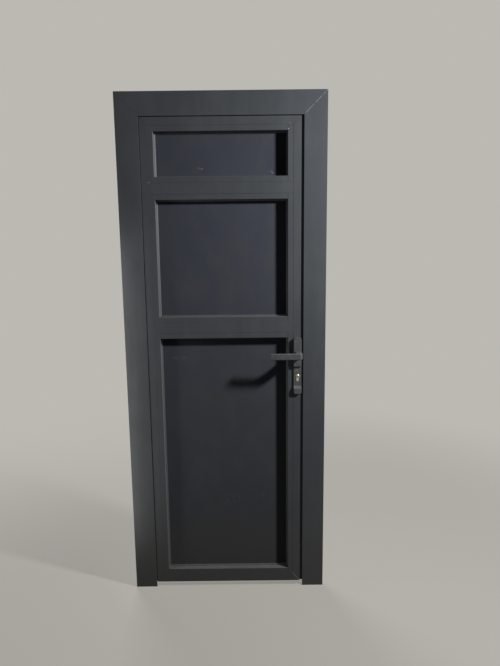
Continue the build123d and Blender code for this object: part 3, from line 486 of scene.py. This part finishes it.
# Panel gaskets
# Dark grey rubber strips round each panel. The beads press the front ones, whose lips slope down to the
# panel, and flat ones with a round edge lie behind it against the leaf's lip.
gasket_rubber = Finish("gasket_rubber")
clean_gasket = shade(59, 61, 66)
powdery_gasket = shade(69, 71, 75)
gasket_depth = 0.00002
powdery = gasket_rubber.noise(0.016, detail=4.0).ramp(0.35, 0.8)
gasket_colour = gasket_rubber.mix(powdery * 0.5, clean_gasket, powdery_gasket)
gasket_grain = gasket_rubber.noise(0.0006)
gasket_grey = gasket_rubber.close(gasket_colour, 0.55, gasket_grain, gasket_depth, Specular_IOR_Level=0.3)
wedge_foot = 0.006
wedge_lip = 0.0055
wedge_edge = 0.0008
wedge_bulge = 0.0005
back_width = 0.0076


def wedge(front, back):
    """The wedge's outline: a flat foot, a slope raised by half a sine wave and half a circle at the lip."""
    along = np.linspace(0, 1, 9)[:-1]
    radius = wedge_edge / 2
    lip_start = wedge_foot + wedge_lip - radius
    drop = back - wedge_edge - front
    raised = wedge_bulge * np.sin(np.pi * along)
    slope = zip(wedge_foot + (lip_start - wedge_foot) * along, front + drop * along - raised)
    turn = np.linspace(-np.pi / 2, np.pi / 2, 7)
    lip = zip(lip_start + radius * np.cos(turn), back - radius + radius * np.sin(turn))
    return [(0.0, front), *slope, *lip, (0.0, back)]


def flat_strip(front, back):
    """The flat strip's outline: straight faces and half a circle at the inner edge."""
    half = (back - front) / 2
    return np.array(bulb(front + half, 0.0, back_width, half))[:, ::-1]


for panel_name in ("top", "middle", "bottom"):
    for side, outline in (("front", wedge), ("back", flat_strip)):
        gasket = f"{panel_name}_{side}_gasket"
        low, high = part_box(gasket)
        around = [
            (low.x, low.z, 1, 1),
            (low.x, high.z, 1, -1),
            (high.x, high.z, -1, -1),
            (high.x, low.z, -1, 1),
        ]
        carried(f"{gasket}_rubber", outline(low.y, high.y), around, "leaf", gasket_grey, gasket, closed=True)


# Hinges
# Three screw-on barrel hinges at the back. The plates are coated like the door, with zinc-plated steel pins
# and screws and black nylon bushes between the knuckles.
hinge_coat = Finish("hinge_coat")
put_on(
    powder_coat(hinge_coat),
    *(f"{name}_hinge_{half}_plate" for name in ("lower", "middle", "upper") for half in ("frame", "leaf")),
)
stain_grey = shade(120, 118, 112)
line_depth = 0.00002


def plated(name, tint, roughness, stretch):
    """Metal with fine lines along the stretch and a few dull stains."""
    metal = Finish(name)
    lines = metal.noise(0.0005, stretch=stretch)
    stain = metal.noise(0.012, detail=4.0).ramp(0.45, 0.75)
    colour = metal.mix(lines * 0.35 + stain * 0.25, tint, stain_grey)
    return metal.close(colour, roughness + stain * 0.15, lines, line_depth, metallic=1.0)


zinc_grey = shade(158, 160, 162)
zinc = plated("zinc_plate", zinc_grey, 0.40, (1, 1, 8))
put_on(zinc, "hinge_pins", "hinge_frame_screws", "hinge_leaf_screws")
nylon = Finish("black_nylon")
dark_nylon = shade(28, 28, 29)
pale_nylon = shade(44, 44, 44)
nylon_depth = 0.00003
mottled = nylon.noise(0.004, detail=3.0).ramp(0.4, 0.7)
nylon_colour = nylon.mix(mottled * 0.5, dark_nylon, pale_nylon)
nylon_black = nylon.close(nylon_colour, 0.48, nylon.noise(0.0005, detail=1.0), nylon_depth)
put_on(nylon_black, "hinge_bushes")


# Packers
# Small blocks of the same nylon that carry the weight of each panel. They stand on the rail below it, out of
# sight behind the lower bead.
put_on(nylon_black, "panel_packers")


# Cleats and connectors
# Blocks inside the hollow profiles, sawn from an aluminium extrusion and left bare. They are pressed into
# the mitres and hold the middle rails between the stiles.
mill_grey = shade(188, 188, 190)
bare_metal = plated("mill_aluminium", mill_grey, 0.38, (1, 12, 1))
put_on(bare_metal, "frame_corner_cleats", "leaf_corner_cleats", "rail_connectors")


# Lock and strike
# A lock let into the stile, with a spring latch, a dead bolt and a follower on the levers' square spindle.
# Its case, faceplate and moving parts and the strike on the jamb are zinc-plated steel, held by screws.
put_on(
    zinc,
    "lock_case",
    "lock_faceplate",
    "faceplate_screws",
    "latch_bolt",
    "dead_bolt",
    "follower",
    "spindle",
    "strike_plate",
    "strike_screws",
)


# Handles
# Long plates with thicker ends on both faces, and straight levers bent at the neck. They are cast and
# coated in satin dark grey, slightly rubbed in places, and dulled screws hold them through the leaf.
handle_coat = Finish("handle_coat")
cast_grey = shade(58, 61, 64)
thin_coat_grey = shade(71, 74, 76)
dull_zinc_grey = shade(112, 112, 111)
grain_depth = 0.00001
touch = handle_coat.noise(0.009, detail=3.0).ramp(0.42, 0.66)
handle_broad = handle_coat.noise(0.04)
handle_colour = handle_coat.mix(handle_broad.ramp(0.35, 0.7) * 0.35, cast_grey, thin_coat_grey)
handle_colour = handle_coat.mix(touch * 0.03, handle_colour, raw_metal)
handle_roughness = 0.46 + handle_broad * 0.08 + touch * 0.05
handle_grain = handle_coat.noise(0.0005, detail=1.0)
satin = handle_coat.close(handle_colour, handle_roughness, handle_grain, grain_depth, Specular_IOR_Level=0.35)
put_on(satin, "front_handle_plate", "back_handle_plate", "front_lever", "back_lever")
put_on(plated("dulled_zinc", dull_zinc_grey, 0.48, (1, 1, 8)), "plate_screws")


# Lock cylinder
# A profile cylinder in satin nickel with brass plugs whose plating is worn, and a steel cam and screw. The
# plugs' ends are slightly domed and have a key slot. The brass is painted darker towards the rim of each
# plug, and the nickel away from the dome on its leg, as painted shade and dark reflection, and stains darken
# both in places.
plug_low, plug_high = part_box("front_plug")
cylinder_x = (plug_low.x + plug_high.x) / 2
cylinder_z = (plug_low.z + plug_high.z) / 2
plug_radius = (plug_high.x - plug_low.x) / 2
leg_drop = 0.0165
leg_reach = 0.010
leg_dome = 0.0012
plug_dome = 0.0024
nickel_white = shade(206, 204, 198)
nickel_stain_and_shade = shade(96, 90, 80)
brass_yellow = shade(198, 186, 156)
brass_stain_and_shade = shade(84, 72, 50)


def domed(name, tint, stain_and_shade, centre_z, dome, reach):
    """Metal domed about a centre: its height falls with the square of the distance to that centre. Towards
    the rim of the dome and beyond it the colour is painted darker as painted shade and dark reflection, and
    stains darken it in places.
    """
    metal = Finish(name)
    across = (metal.x - cylinder_x) / reach
    up = (metal.z - centre_z) / reach
    square = across * across + up * up
    # Painted shade and dark reflection: the colour darkens towards the rim of the dome and beyond it.
    painted_dark_rim = square.math("SQRT").ramp(0.72, 1.0)
    stain = metal.noise(0.004, detail=4.0).ramp(0.40, 0.75)
    colour = metal.mix((painted_dark_rim * 0.6).most(stain * 0.35), tint, stain_and_shade)
    lines = metal.noise(0.0005, detail=1.0)
    return metal.close(colour, 0.24 + stain * 0.15, 1 - square + lines * 0.01, dome, metallic=1.0)


leg_z = cylinder_z - leg_drop
nickel = domed("satin_nickel", nickel_white, nickel_stain_and_shade, leg_z, leg_dome, leg_reach)
brass = domed("worn_brass", brass_yellow, brass_stain_and_shade, cylinder_z, plug_dome, plug_radius)
put_on(nickel, "cylinder_body")
put_on(brass, "front_plug", "back_plug")
put_on(zinc, "cylinder_screw", "cam")


# Floor and backdrop
# A plain pale floor that fades into a plain pale background a few steps away. Neither is part of the door,
# and rays that light the door meet a dim floor and a faint room instead.
backdrop = (0.50, 0.485, 0.45, 1)
pale_dark = (0.26, 0.252, 0.235, 1)
pale_light = (0.29, 0.282, 0.265, 1)
dim_floor = (0.10, 0.098, 0.092, 1)
room_white = (1.0, 0.97, 0.93, 1)
room_strength = 0.025
floor_reach = 12.0
fade_start = 0.8
fade_end = 3.0
near_fade = 0.5


def pictured(recipe):
    """1 for rays from the camera, straight, mirrored or let through, and 0 for rays that carry light."""
    rays = ("Is Camera Ray", "Is Glossy Ray", "Is Transmission Ray")
    camera_ray, glossy_ray, through_ray = (recipe.node("ShaderNodeLightPath", output=ray) for ray in rays)
    return camera_ray.most(glossy_ray).most(through_ray)


floor_points = [
    (-floor_reach, -floor_reach, 0),
    (floor_reach, -floor_reach, 0),
    (floor_reach, floor_reach, 0),
    (-floor_reach, floor_reach, 0),
]
floor_mesh = bpy.data.meshes.new("floor")
floor_mesh.from_pydata(floor_points, [], [(0, 1, 2, 3)])
floor = bpy.data.objects.new("floor", floor_mesh)
bpy.context.scene.collection.objects.link(floor)
floor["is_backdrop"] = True
pale_floor = Finish("pale_floor")
floor_colour = pale_floor.mix(pale_floor.noise(0.25, detail=4.0) * 0.4, pale_dark, pale_light)
floor_mesh.materials.append(pale_floor.close(floor_colour, 0.8, Specular_IOR_Level=0.1))
lit = Value(pale_floor, pale_floor.shader.outputs[0])
glow = pale_floor.node("ShaderNodeEmission", {}, {0: backdrop})
dim = pale_floor.node("ShaderNodeBsdfDiffuse", {}, {0: dim_floor})
distance = (pale_floor.x * pale_floor.x + pale_floor.y * pale_floor.y).math("SQRT")
faded_out = distance.ramp(fade_start, fade_end) * (1 - near_fade) + near_fade
seen_floor = pale_floor.node("ShaderNodeMixShader", {}, {0: faded_out, 1: lit, 2: glow})
floor_look = pale_floor.node("ShaderNodeMixShader", {}, {0: pictured(pale_floor), 1: dim, 2: seen_floor})
pale_floor.tree.links.new(floor_look.socket, pale_floor.tree.nodes["Material Output"].inputs[0])

world = bpy.data.worlds.new("pale_room")
bpy.context.scene.world = world
room = Recipe(world)
faint_light = room.tree.nodes["Background"]
faint_light.inputs["Color"].default_value = room_white
faint_light.inputs["Strength"].default_value = room_strength
faint = Value(room, faint_light.outputs[0])
seen_room = room.node("ShaderNodeBackground", {}, {"Color": backdrop})
room_look = room.node("ShaderNodeMixShader", {}, {0: pictured(room), 1: faint, 2: seen_room})
room.tree.links.new(room_look.socket, room.tree.nodes["World Output"].inputs[0])


# Lamps
# A small lamp high on the lock side throws the beads' shadows on the panels. A weak tall strip close to the
# hinge side lights that jamb as a pale card would, and a soft lamp behind lights the other face.
def lamp(name, place, aim, wide, high, watts, colour):
    """A rectangular area lamp at a place, turned towards an aim."""
    light = bpy.data.lights.new(name, "AREA")
    light.shape = "RECTANGLE"
    light.size = wide
    light.size_y = high
    light.energy = watts
    light.color = colour
    made = bpy.data.objects.new(name, light)
    made.location = place
    made.rotation_euler = (Vector(aim) - Vector(place)).to_track_quat("-Z", "Y").to_euler()
    made.visible_camera = False
    bpy.context.scene.collection.objects.link(made)


lamp_white = (1.0, 0.97, 0.94)
card_white = (1.0, 0.94, 0.86)
lamp("lock_side_lamp", (1.67, -0.80, 2.15), (0, 0, 1.2), 0.17, 0.17, 88, lamp_white)
lamp("left_card", (-0.52, -0.10, 0.88), (-0.38, 0, 0.88), 0.08, 1.3, 2.3, card_white)
lamp("back_lamp", (-1.3, 2.6, 2.3), (0, 0, 1.1), 1.8, 1.8, 130, lamp_white)


# Camera
# At eye height in front of the door, a little right of its middle, tilted down and very slightly turned.
# Its lens gives 500 pixels for each unit of width over distance, on a picture 500 by 666 pixels.
camera_place = Vector((0.1036, -2.0793, 1.4620))
camera_tilt = 0.15144
camera_roll = -0.010935
focal_pixels = 500
long_side_pixels = 666
film_width = 36.0
forward = Vector((0, np.cos(camera_tilt), -np.sin(camera_tilt)))
level_right = Vector((1, 0, 0))
level_up = level_right.cross(forward)
right = level_right * np.cos(camera_roll) + level_up * np.sin(camera_roll)
up = level_up * np.cos(camera_roll) - level_right * np.sin(camera_roll)
camera_data = bpy.data.cameras.new("camera")
camera_data.sensor_width = film_width
camera_data.lens = film_width * focal_pixels / long_side_pixels
camera = bpy.data.objects.new("camera", camera_data)
turn = Matrix((right, up, -forward)).transposed()
camera.matrix_world = Matrix.Translation(camera_place) @ turn.to_4x4()
bpy.context.scene.collection.objects.link(camera)
bpy.context.scene.camera = camera
bpy.context.scene.view_settings.view_transform = "Standard"

low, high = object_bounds()
